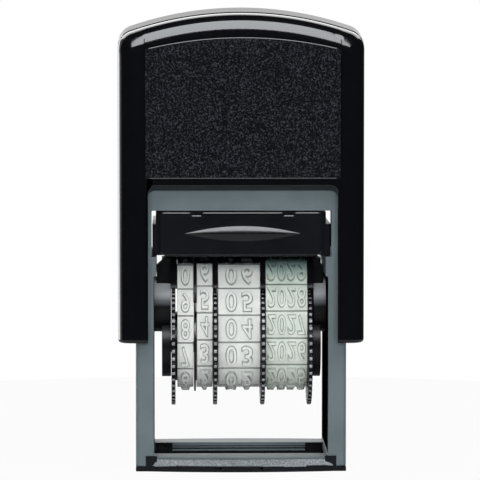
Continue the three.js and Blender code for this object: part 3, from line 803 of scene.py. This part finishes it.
def panel_outline(inset):
    """The grained field's border."""
    half = ZONE_HALF - PANEL_MARGIN - inset
    columns = [half * (2 * i / PANEL_STEPS - 1) for i in range(PANEL_STEPS + 1)]
    top = [(x, arch_top(x, CROWN - PANEL_DROP, PANEL_ARCH) - inset) for x in reversed(columns)]
    return [(x + FRONT_SHIFT, z) for x, z in [(x, PANEL_FOOT + inset) for x in columns] + top]


def cap_panel():
    """The grained field on the front, a little proud of the middle zone."""
    face = ZONE_DEPTH - CAP_FRONT
    return lofted([[(x, face + back, z) for x, z in panel_outline(inset)] for inset, back in PANEL_EDGE])


def panel_bead():
    """A fine roof-shaped edge along the field's border."""
    face = ZONE_DEPTH - CAP_FRONT
    way = panel_outline(0)
    points = []
    for i, (x, z) in enumerate(way):
        ahead, behind = way[(i + 1) % len(way)], way[i - 1]
        along = Vector((ahead[0] - behind[0], ahead[1] - behind[1])).normalized()
        for aside, out in ((BEAD_REACH, 0), (0, BEAD_HEIGHT), (-BEAD_REACH, 0), (0, -BEAD_HEIGHT)):
            points.append((x + along.y * aside, face - out, z - along.x * aside))
    return new_mesh(points, rings_to_faces(4, len(way), looped=True))


add_piece("cap_case", cap_shell(), "cap", [cap_gloss], ["cap_shell"])
add_piece("cap_front_panel", cap_panel(), "cap", [cap_grain_glints])
add_piece("cap_panel_bead", panel_bead(), "cap", [cap_gloss])


# Stand

def stand_frame():
    """The gray moulding; beside the cartridge its legs open out towards the back."""
    low, high = cartridge_low.z - OPENING_MARGIN, cartridge_high.z + OPENING_MARGIN
    openings = []
    for hand, near in OPENING_NEAR.items():
        plan = [(OPENING_INNER, -LEG_FRONT - OVERRUN), (near, -LEG_FRONT - OVERRUN), (near, -LEG_FRONT)]
        plan += [(OPENING_FAR, LEG_FRONT + OVERRUN), (OPENING_INNER, LEG_FRONT + OVERRUN)]
        openings.append(prism([(hand * x, y) for x, y in plan], "z", low, high))
    bm = flattened(to_bmesh(combined(from_bmesh(cad_copy("inner_frame")), cuts=openings)))

    def upright(middle, direction):
        return abs(direction.z) > 0.99 and abs(middle.x) > LEG_OUTER - TOUCH

    bevel_where(bm, LEG_ROUND, 5, upright, 60)
    bevel_where(bm, STAND_ROUND, 2, everywhere, 40)
    return from_bmesh(bm)


def foot_plate():
    """The black plate, with the upward sloped faces of its lips as a second, grained material whose light
    gray is painted sheen.
    """
    bm = cad_copy("base_ring")
    bevel_where(bm, FOOT_PLATE_ROUND, 2, everywhere, 35)
    steepest, flattest = LIP_SLOPES
    # Faces that slope upwards beyond the bars take the painted sheen.
    for face in bm.faces:
        sloped = steepest < face.normal.z < flattest and abs(face.normal.x) < LIP_TURN
        wide = face.calc_area() > LIP_AREA * MM * MM
        beyond_bars = abs(face.calc_center_median().y) > LIP_FROM * MM
        face.material_index = int(sloped and wide and beyond_bars)
    return from_bmesh(bm)


def foot_blocks():
    """Black blocks that show beside the lips and inside the bars' ends, and black ribs between them that
    paint shade on the rear bar's inner face.
    """
    blocks = []

    def block(x_ends, y_ends, top):
        plan = rounded_rectangle(*sorted(x_ends), *sorted(y_ends), BLOCK_ROUND, 2)
        blocks.append(prism(plan, "z", FOOT_TOP - SUNK, top))

    front, inner = LEG_FRONT + BLOCK_PROUD, BAR_INNER - BLOCK_PROUD
    for hand in (-1, 1):
        block((hand * BLOCK_INNER, hand * BLOCK_OUTER), (-front, BLOCK_DEPTH - front), BLOCK_TOP)
        for facing in (-1, 1):
            depth = (facing * inner, facing * (inner + BLOCK_DEPTH))
            block((hand * CLIP_INNER, hand * CLIP_OUTER), depth, CLIP_TOP)
    half = CLIP_INNER + SUNK
    plan = rounded_rectangle(-half, half, BAR_INNER - RIB_PROUD, BAR_INNER + BLOCK_DEPTH, RIB_ROUND, 2)
    blocks += [prism(plan, "z", low, high) for low, high in SHADE_RIBS]
    return from_bmesh(to_bmesh(*blocks))


add_piece("stand_frame", stand_frame(), "stand", [stand_gray], ["inner_frame"])
add_piece("foot_plate", foot_plate(), "stand", [foot_black, lip_grain_and_sheen], ["base_ring"])
add_piece("foot_blocks", foot_blocks(), "stand", [foot_black])
for side in ("left", "right"):
    node = f"cam_plate_{side}"
    inlay = refined(node, INLAY_ROUND)
    add_piece(f"cam_inlay_{side}", inlay, "stand", [inlay_black], [node])


# Ink cartridge

def front_plate(half, top, notches):
    """The cartridge's front, with round corners, a chamfer and two notches in its upper edge."""
    low, high, front = cartridge_low.z, cartridge_high.z, cartridge_high.y
    corner = (PLATE_CORNER - half, low + PLATE_CORNER + HAIR)
    bottom = arc(corner, PLATE_CORNER, 180, 270, 6)
    right = arc((half - PLATE_CORNER, top - PLATE_CORNER), PLATE_CORNER, 0, 90, 8)
    outline = bottom + [(-x, z) for x, z in reversed(bottom)] + right
    for notch in reversed(notches):
        for reach, down in NOTCH_SLOPE:
            outline.append((notch + NOTCH_WIDTH * reach, top - NOTCH_DEPTH * down))
    outline += [(-x, z) for x, z in reversed(right)]
    middle, tall = (low + high) / 2, (high - low) / 2
    share_x, share_z = 1 - PLATE_CHAMFER / half, 1 - PLATE_CHAMFER / tall
    rings = [[(x * share_x, -front, middle + (z - middle) * share_z) for x, z in outline]]
    rings += [[(x, y - front, z) for x, z in outline] for y in (PLATE_CHAMFER / 2, PLATE_DEPTH)]
    return lofted(rings)


def cartridge():
    low, high = cartridge_low, cartridge_high
    half, front = high.x - FLANGE_REACH, high.y
    body = rounded_rectangle(-half, half, BODY_INSET - front, front, BODY_CORNER)
    ends = low.x - FLANGE_OUT, high.x + 2 * FLANGE_OUT
    flanges = rounded_rectangle(*ends, FLANGE_INSET - front, front - FLANGE_INSET, FLANGE_CORNER)
    top = high.z - HAIR
    notches = (FRONT_SHIFT - NOTCH_SPACING / 2, FRONT_SHIFT + NOTCH_SPACING / 2)
    tail = rounded_rectangle(*TAIL_ENDS, TAIL_FROM, TAIL_FROM + TAIL_DEPTH, TAIL_CORNER, 2)
    joins = (
        prism(flanges, "z", low.z + HAIR / 2, low.z + FLANGE_HEIGHT),
        front_plate(half - PLATE_INSET, top, notches),
        prism(tail, "z", low.z - TAIL_DROP, low.z + TAIL_SUNK),
    )
    cuts = []
    for notch in reversed(notches):
        depths = [place - front for place in NOTCH_PLACES]
        ends = (notch - NOTCH_WIDTH / 2, notch + NOTCH_WIDTH / 2)
        plan = rounded_rectangle(*ends, *depths, NOTCH_CORNER, 2)
        cuts.append(prism(plan, "z", top - NOTCH_DEPTH, top + OVERRUN))
    pad_low, pad_high = corners("ink_pad")
    pocket = rounded_rectangle(
        pad_low.x - PAD_GAP, pad_high.x + PAD_GAP, pad_low.y - PAD_GAP, pad_high.y + PAD_GAP, PAD_CORNER
    )
    cuts.append(prism(pocket, "z", low.z - OVERRUN, pad_high.z + PAD_GAP))
    bm = flattened(to_bmesh(combined(prism(body, "z", low.z, high.z), joins, cuts)))

    def outer_edge(middle, direction):
        return middle.z > high.z - TOUCH and middle.y > PLATE_DEPTH + PLATE_ROUND - front

    bevel_where(bm, PLATE_ROUND, 4, outer_edge, 60)
    return from_bmesh(bm)


def cartridge_grip():
    """The lens-shaped ridge that a finger pulls the cartridge out by."""
    middle, front = cartridge_high.z - GRIP_DROP, -cartridge_high.y
    back = front + GRIP_SUNK
    steps, across_steps = GRIP_STEPS
    rings = []
    for i in range(steps + 1):
        along = GRIP_TIP * (2 * i / steps - 1)
        swell = 1 - along**2
        tall = GRIP_HEIGHT / 2 * swell
        x = FRONT_SHIFT + GRIP_WIDTH / 2 * along
        ring = []
        for k in range(across_steps + 1):
            across = 2 * k / across_steps - 1
            out = GRIP_BULGE * swell * (1 - abs(across) ** GRIP_POWER)
            ring.append((x, front - out, middle + tall * across))
        rings.append(ring + [(x, back, middle + tall), (x, back, middle - tall)])
    return lofted(rings)


add_piece("cartridge", cartridge(), "stand", [part_black], ["ink_cartridge"], 20)
add_piece("cartridge_grip", cartridge_grip(), "stand", [grip_black], angle=50)
add_piece("pad", refined("ink_pad", PAD_ROUND, 3), "stand", [pad_felt], ["ink_pad"])


# Print unit: side plates, axle and pins

def unit_plate(node):
    """A side plate, with its faces brought close to the leg and the wheel beside it."""
    low, _ = corners(node)
    bm = cad_copy(node)
    for vert in bm.verts:
        x = vert.co.x / MM
        if abs(x - low.x) < TOUCH and x > 0:
            vert.co.x -= SIDE_REACH * MM
        for face, out in SIDE_ENDS:
            if abs(abs(x) - face) < TOUCH:
                vert.co.x += copysign(out * MM, x)
    bevel_where(bm, SIDE_EDGE, 2, everywhere, 35)
    return from_bmesh(bm)


def boss(node, hand):
    """The round boss on a side plate's outside, about the pivot pin."""
    inner = min(abs(corner.x) for corner in corners(node))
    start, end = sorted((hand * (inner + BOSS_INSET), hand * BOSS_TO))
    made = prism(circle((0, PIVOT_Z), BOSS_RADIUS, BOSS_SIDES), "x", start, end)
    bore = prism(circle((0, PIVOT_Z), BOSS_BORE, BORE_SIDES), "x", start - OVERRUN, end + OVERRUN)
    bm = to_bmesh(combined(made, cuts=[bore]))
    bevel_where(bm, BOSS_ROUND, 2, everywhere, 35)
    return from_bmesh(bm)


for hand, side in ((-1, "left"), (1, "right")):
    node = f"unit_side_{side}"
    add_piece(f"unit_plate_{side}", unit_plate(node), "print_unit", [unit_black], [node])
    add_piece(f"unit_boss_{side}", boss(node, hand), "print_unit", [boss_painted_highlight])
    node = f"pivot_pin_{side}"
    add_piece(f"pivot_{side}", refined(node, PIN_ROUND), "cap", [part_black], [node])
axle = refined("wheel_axle", PIN_ROUND, 3, 40)
add_piece("axle", axle, "print_unit", [spring_steel], ["wheel_axle"])


# Setting wheels

def tooth_valley(angle):
    """0 on a tooth's tip and the tooth's depth in the gap beside it, with round flanks."""
    return TOOTH_DEPTH * min(max(0.5 - TOOTH_FLANK * cos(TEETH * angle), 0), 1)


def turned(profile):
    """A closed profile of (x, radius, tooth share) turned about the axle's line."""
    angles = TEETH * TOOTH_STEPS
    points = []
    for k in range(angles):
        angle = 2 * pi * k / angles
        for x, radius, share in profile:
            reach = radius - share * tooth_valley(angle)
            points.append((x, -reach * cos(angle), AXLE_Z + reach * sin(angle)))
    return new_mesh(points, rings_to_faces(len(profile), angles, looped=True))


def setting_wheel(number):
    """A toothed disc, at the left of its drum on the first wheel and at the right on the others."""
    low, high = corners(f"setting_wheel_{number}")
    first = low.x - DISC_SHIFT if number == 1 else high.x - DISC_THICKNESS
    last = first + DISC_THICKNESS
    side = [(0, BORE_RADIUS, 0)] + [(depth, radius, 0) for radius, depth in DISC_GROOVE]
    side += [(0, DISC_RADIUS - TIP_CHAMFER, 1), (TIP_CHAMFER, DISC_RADIUS, 1)]
    disc = [(first + x, radius, share) for x, radius, share in side]
    disc += [(last - x, radius, share) for x, radius, share in reversed(side)]
    if number == 1:
        drum = [(last, DRUM_RADIUS, 0), (high.x, DRUM_RADIUS, 0), (high.x, BORE_RADIUS, 0)]
        profile = disc[:-1] + drum
    else:
        drum = [(low.x, DRUM_RADIUS, 0)]
        if number == COLLAR_WHEEL:
            edge = low.x + COLLAR_THICKNESS
            drum = [(low.x, COLLAR_RADIUS, 0), (edge, COLLAR_RADIUS, 0), (edge, DRUM_RADIUS, 0)]
        profile = [(low.x, BORE_RADIUS, 0)] + drum + [(first, DRUM_RADIUS, 0)] + disc[1:]
    mesh = turned(profile)
    # Faces on the teeth's tips take the second material, the painted glint.
    for face in mesh.polygons:
        reach = hypot(face.center.y, face.center.z - AXLE_Z * MM) / MM
        across = first + TIP_CHAMFER < face.center.x / MM < last - TIP_CHAMFER
        face.material_index = int(across and reach > DISC_RADIUS - TIP_DEPTH)
    return mesh


for number in (1, 2, 3, 4):
    add_piece(
        f"wheel_{number}", setting_wheel(number), f"wheel_{number}",
        [wheel_black, painted_tip_glint], [f"setting_wheel_{number}"],
    )


# Type bands, and the platen under them

AXLE_DROP = PIVOT_Z - AXLE_Z
BELT_TOP = TYPE_FACE - PIVOT_Z - TYPE_HEIGHT
NOSE_TURN = pi / 2 - FLANK_TURN
FLAT_HALF = BELT_RADIUS - FLANK_RADIUS * (1 - cos(FLANK_TURN)) - NOSE_RADIUS * cos(FLANK_TURN)
FLANK_FOOT = BELT_TOP - NOSE_RADIUS * (1 - sin(FLANK_TURN)) - FLANK_RADIUS * sin(FLANK_TURN)
BELT_STRETCHES = (
    FLAT_HALF, NOSE_RADIUS * NOSE_TURN, FLANK_RADIUS * FLANK_TURN, FLANK_FOOT + AXLE_DROP,
    BELT_RADIUS * pi / 2,
)
BELT_LENGTH = 2 * sum(BELT_STRETCHES)
ROW_PITCH = BELT_LENGTH / ROWS


def belt_point(way, lift):
    """A place on the belt: way runs from the top's middle forward and down, lift stands out."""
    along = way % BELT_LENGTH
    back = along > BELT_LENGTH / 2
    left = BELT_LENGTH - along if back else along
    piece = 0
    while piece < len(BELT_STRETCHES) - 1 and left > BELT_STRETCHES[piece]:
        left -= BELT_STRETCHES[piece]
        piece += 1

    def bend(y, z, radius, angle):
        return y + (radius + lift) * cos(angle), z + (radius + lift) * sin(angle)

    if piece == 0:
        y, z = left, BELT_TOP + lift
    elif piece == 1:
        y, z = bend(FLAT_HALF, BELT_TOP - NOSE_RADIUS, NOSE_RADIUS, pi / 2 - left / NOSE_RADIUS)
    elif piece == 2:
        y, z = bend(BELT_RADIUS - FLANK_RADIUS, FLANK_FOOT, FLANK_RADIUS, FLANK_TURN - left / FLANK_RADIUS)
    elif piece == 3:
        y, z = BELT_RADIUS + lift, FLANK_FOOT - left
    else:
        y, z = bend(0, -AXLE_DROP, BELT_RADIUS, -left / BELT_RADIUS)
    return (y if back else -y), z + PIVOT_Z


def belt(x0, x1, shift):
    """The rubber loop, with a fine groove between its rows."""
    half_groove = ROW_GROOVE / 2
    floor_half = half_groove * GROOVE_FLOOR
    ways = []
    for row in range(ROWS):
        start = shift + (row - 0.5) * ROW_PITCH
        ways += [(start, -GROOVE_DEPTH), (start + floor_half, -GROOVE_DEPTH)]
        for k in range(BELT_STEPS + 1):
            ways.append((start + half_groove + (ROW_PITCH - ROW_GROOVE) * k / BELT_STEPS, 0))
        ways.append((start + ROW_PITCH - floor_half, -GROOVE_DEPTH))
    half = [(x0, -BELT_THICKNESS), (x0, -BELT_EDGE), (x0 + BELT_EDGE, 0)]
    section = half + [(x0 + x1 - x, lift) for x, lift in reversed(half)]
    points = []
    for way, dip in ways:
        for x, lift in section:
            points.append((x, *belt_point(way, lift + (dip if lift > -BELT_THICKNESS else 0))))
    count = len(section)
    mesh = new_mesh(points, rings_to_faces(count, len(ways), looped=True))
    # Faces in the grooves take the second material, the painted shade.
    for face in mesh.polygons:
        face.material_index = int(any(ways[vert // count][1] < 0 for vert in face.vertices))
    return mesh


def belt_arch(lift, floor):
    """The belt's outline above a height, at one lift."""
    points = [belt_point((k / ARCH_STEPS - 0.5) * BELT_LENGTH, lift) for k in range(ARCH_STEPS)]
    arch = [point for point in points if point[1] > floor]
    return [(arch[0][0], floor)] + arch + [(arch[-1][0], floor)]


def platen():
    """The core under the belts, with a fin in each lane beside them."""
    low, high = corners("print_bridge")
    core = belt_arch(-BELT_THICKNESS - CORE_GAP, AXLE_Z + DISC_RADIUS + CORE_GAP)
    meshes = [prism(core, "x", low.x, high.x)]
    starts = [low.x] + [box_high.x + LANE_GAP for _, box_high in band_boxes]
    ends = [box_low.x - LANE_GAP for box_low, _ in band_boxes] + [high.x]
    for lane, (start, end) in enumerate(zip(starts, ends)):
        reach = COLLAR_RADIUS if lane == COLLAR_WHEEL - 1 else DISC_RADIUS
        meshes.append(prism(belt_arch(FIN_LIFT, AXLE_Z + reach + CORE_GAP), "x", start, end))
    return from_bmesh(to_bmesh(*meshes))


add_piece("platen", platen(), "print_unit", [wheel_black], ["print_bridge"])


def digit_mesh(digit):
    """A plain digit one unit wide and high, standing out of its plane from 0 to 1."""
    curve = bpy.data.curves.new("digit", "FONT")
    curve.body = digit
    curve.bevel_depth = DRAFT
    curve.bevel_resolution = 0
    curve.resolution_u = 6
    obj = put("digit", curve)
    graph = bpy.context.evaluated_depsgraph_get()
    mesh = bpy.data.meshes.new_from_object(obj.evaluated_get(graph))
    bpy.data.objects.remove(obj)
    bm = to_bmesh(mesh)
    bmesh.ops.remove_doubles(bm, verts=bm.verts, dist=1e-4)
    low, high = ([pick(v.co[a] for v in bm.verts) for a in range(3)] for pick in (min, max))
    for vert in bm.verts:
        for a in range(3):
            vert.co[a] = (vert.co[a] - low[a]) / (high[a] - low[a])
    bm.normal_update()
    # The digits' flanks take the second material, the painted shade.
    for face in bm.faces:
        face.material_index = int(abs(face.normal.z) < GLYPH_FLAT)
    steps = round(GLYPH_HEIGHT / GLYPH_STEP)
    for k in range(1, steps):
        whole = bm.verts[:] + bm.edges[:] + bm.faces[:]
        bmesh.ops.bisect_plane(bm, geom=whole, plane_co=(0, k / steps, 0), plane_no=(0, 1, 0))
    return from_bmesh(bm)


def raised_text(text, centre_x, width, pitch, way):
    """Digits that stand on a belt, upside down as on any type, in their order from left to right."""
    meshes = []
    for place, digit in enumerate(text):
        middle = centre_x + pitch * (place - (len(text) - 1) / 2)
        wide = width * (NARROW_SHARE if digit == "1" else 1)
        mesh = digits[digit].copy()
        for vert in mesh.vertices:
            share_x, share_y, share_z = vert.co
            lift = max(TYPE_HEIGHT * (2 * share_z - 1), -SUNK)
            y, z = belt_point(way + GLYPH_HEIGHT * (share_y - 0.5), lift)
            vert.co = Vector((middle + wide * (share_x - 0.5), y, z)) * MM
        meshes.append(mesh)
    return meshes


def row_text(number, row):
    """What a band says in a row: two bands of single digits, one of months, and one of years."""
    if number == 4:
        return str(LAST_YEAR - row)
    if number == 3:
        return f"{(FIRST_MONTH - row) % 12 or 12:02d}"
    return str((FIRST_DIGITS[number - 1] - row) % 10)


digits = {digit: digit_mesh(digit) for digit in "0123456789"}
for number, (low, high) in enumerate(band_boxes, 1):
    shift = BAND_SHIFTS[number - 1]
    width, pitch = GLYPH_WIDTHS[number - 1]
    meshes = [belt(low.x, high.x, shift)]
    for row in range(ROWS):
        way = shift + row * ROW_PITCH
        meshes += raised_text(row_text(number, row), (low.x + high.x) / 2, width, pitch, way)
    slot, tones = ("year_rubber", year_tones) if number == 4 else ("type_rubber", type_tones)
    mesh = from_bmesh(to_bmesh(*meshes))
    add_piece(f"band_{number}", mesh, "print_unit", tones, [f"date_band_{number}"], 35)


# Return spring

def spring():
    """One wire, wound evenly between the stand's roof and the cap's ceiling."""
    reach = (spring_high.x - spring_low.x) / 2 - WIRE_RADIUS
    low = spring_low.z + WIRE_RADIUS
    rise = spring_high.z - WIRE_RADIUS - low
    steps = SPRING_TURNS * SPRING_STEPS
    rings = []
    for i in range(steps + 1):
        turn = 2 * pi * SPRING_TURNS * i / steps
        ring = []
        for k in range(WIRE_SIDES):
            angle = 2 * pi * k / WIRE_SIDES
            out = reach + WIRE_RADIUS * cos(angle)
            height = low + rise * i / steps + WIRE_RADIUS * sin(angle)
            ring.append((out * cos(turn), out * sin(turn), height))
        rings.append(ring)
    return lofted(rings)


coil = add_piece(
    "spring", spring(), "stand", [spring_steel], ["return_spring"], 50, weighted=False
)
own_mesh(coil)


# Camera, lights and background

def camera():
    data = bpy.data.cameras.new("camera")
    data.lens = CAMERA_LENS
    data.sensor_width = SENSOR_WIDTH
    data.clip_start = 0.01
    obj = put("camera", data)
    away = Vector((sin(CAMERA_AZIMUTH), -cos(CAMERA_AZIMUTH), 0)) * CAMERA_DISTANCE
    place = away + Vector((0, 0, CROWN))
    aim = Vector((AIM_ASIDE, 0, CROWN - CAMERA_DISTANCE * tan(CAMERA_TILT)))
    obj.location = place * MM
    obj.rotation_euler = (aim - place).to_track_quat("-Z", "Y").to_euler()
    bpy.context.scene.camera = obj


def softbox(name, place, aim_height, size, power, colour=(1, 1, 1)):
    """A lamp that looks at a height above the base's middle."""
    data = bpy.data.lights.new(name, "AREA")
    data.shape = "RECTANGLE"
    data.size, data.size_y = (side * MM for side in size)
    data.energy = power
    data.color = colour
    obj = put(name, data)
    obj.location = Vector(place) * MM
    obj.rotation_euler = (Vector((0, 0, aim_height)) - Vector(place)).to_track_quat("-Z", "Y").to_euler()
    return obj


def floor():
    """A round white sheet under the stamp, white to the camera but for a faint shadow."""
    bm = bmesh.new()
    bmesh.ops.create_circle(bm, cap_ends=True, segments=FLOOR_SIDES, radius=FLOOR_RADIUS * MM)
    obj = put("floor", from_bmesh(bm))
    obj.location = (0, 0, -FLOOR_GAP * MM)
    material, tree, shader, _ = shader_nodes("floor_white")
    tone = (FLOOR_TONE, FLOOR_TONE, FLOOR_TONE, 1)
    wire(tree, shader, {"Base Color": tone, "Roughness": 0.9, SPECULAR: 0})
    seen = new_node(tree, "LightPath", {}).outputs["Is Camera Ray"]
    share = new_node(tree, "Math", {0: seen, 1: FLOOR_GLOW}, operation="MULTIPLY").outputs[0]
    glow = new_node(tree, "Emission", {"Strength": 1}).outputs["Emission"]
    mix = new_node(tree, "MixShader", {"Fac": share, 1: shader.outputs["BSDF"], 2: glow})
    wire(tree, tree.nodes["Material Output"], {"Surface": mix.outputs["Shader"]})
    obj.data.materials.append(material)


def background():
    """White behind the stamp, dim in front of it, and white all round to the camera."""
    world = bpy.data.worlds.new("studio")
    bpy.context.scene.world = world
    world.use_nodes = True
    tree = world.node_tree
    where = new_node(tree, "TexCoord", {}).outputs["Generated"]
    parts = new_node(tree, "SeparateXYZ", {"Vector": where}).outputs
    across = {0: parts["X"], 1: STUDIO_LEAN, 2: parts["Y"]}
    lean = new_node(tree, "Math", across, operation="MULTIPLY_ADD").outputs[0]
    start, end = STUDIO_SPAN
    span = {"Value": lean, "From Min": start, "From Max": end, "To Min": STUDIO_DIM, "To Max": 1}
    behind = new_node(tree, "MapRange", span, interpolation_type="SMOOTHSTEP").outputs["Result"]
    seen = new_node(tree, "LightPath", {}).outputs
    diffuse = {"Factor": seen["Is Diffuse Ray"], "A": behind, "B": STUDIO_DIFFUSE}
    soft = new_node(tree, "Mix", diffuse).outputs["Result"]
    strength = new_node(tree, "Mix", {"Factor": seen["Is Camera Ray"], "A": soft, "B": 1})
    light = {"Strength": strength.outputs["Result"], "Color": (1, 1, 1, 1)}
    wire(tree, tree.nodes["Background"], light)


camera()
reflected = [
    softbox("front_softbox", (0, -420, 620), 60, (460, 400), 5.6, (0.94, 0.97, 1)),
    softbox("back_softbox", (0, 344, 580), 90, (1200, 540), 12),
    softbox("left_softbox", (-590, 540, 120), 50, (450, 500), 3),
]
spread = [
    softbox("high_fill", (0, -500, 900), 50, (1200, 500), 3.4),
    softbox("low_fill", (0, -1100, 300), 50, (900, 400), 7.2),
]
for lamp in reflected:
    lamp.visible_diffuse = False
for lamp in spread:
    lamp.visible_glossy = False
floor()
background()
bpy.context.scene.view_settings.view_transform = "Standard"
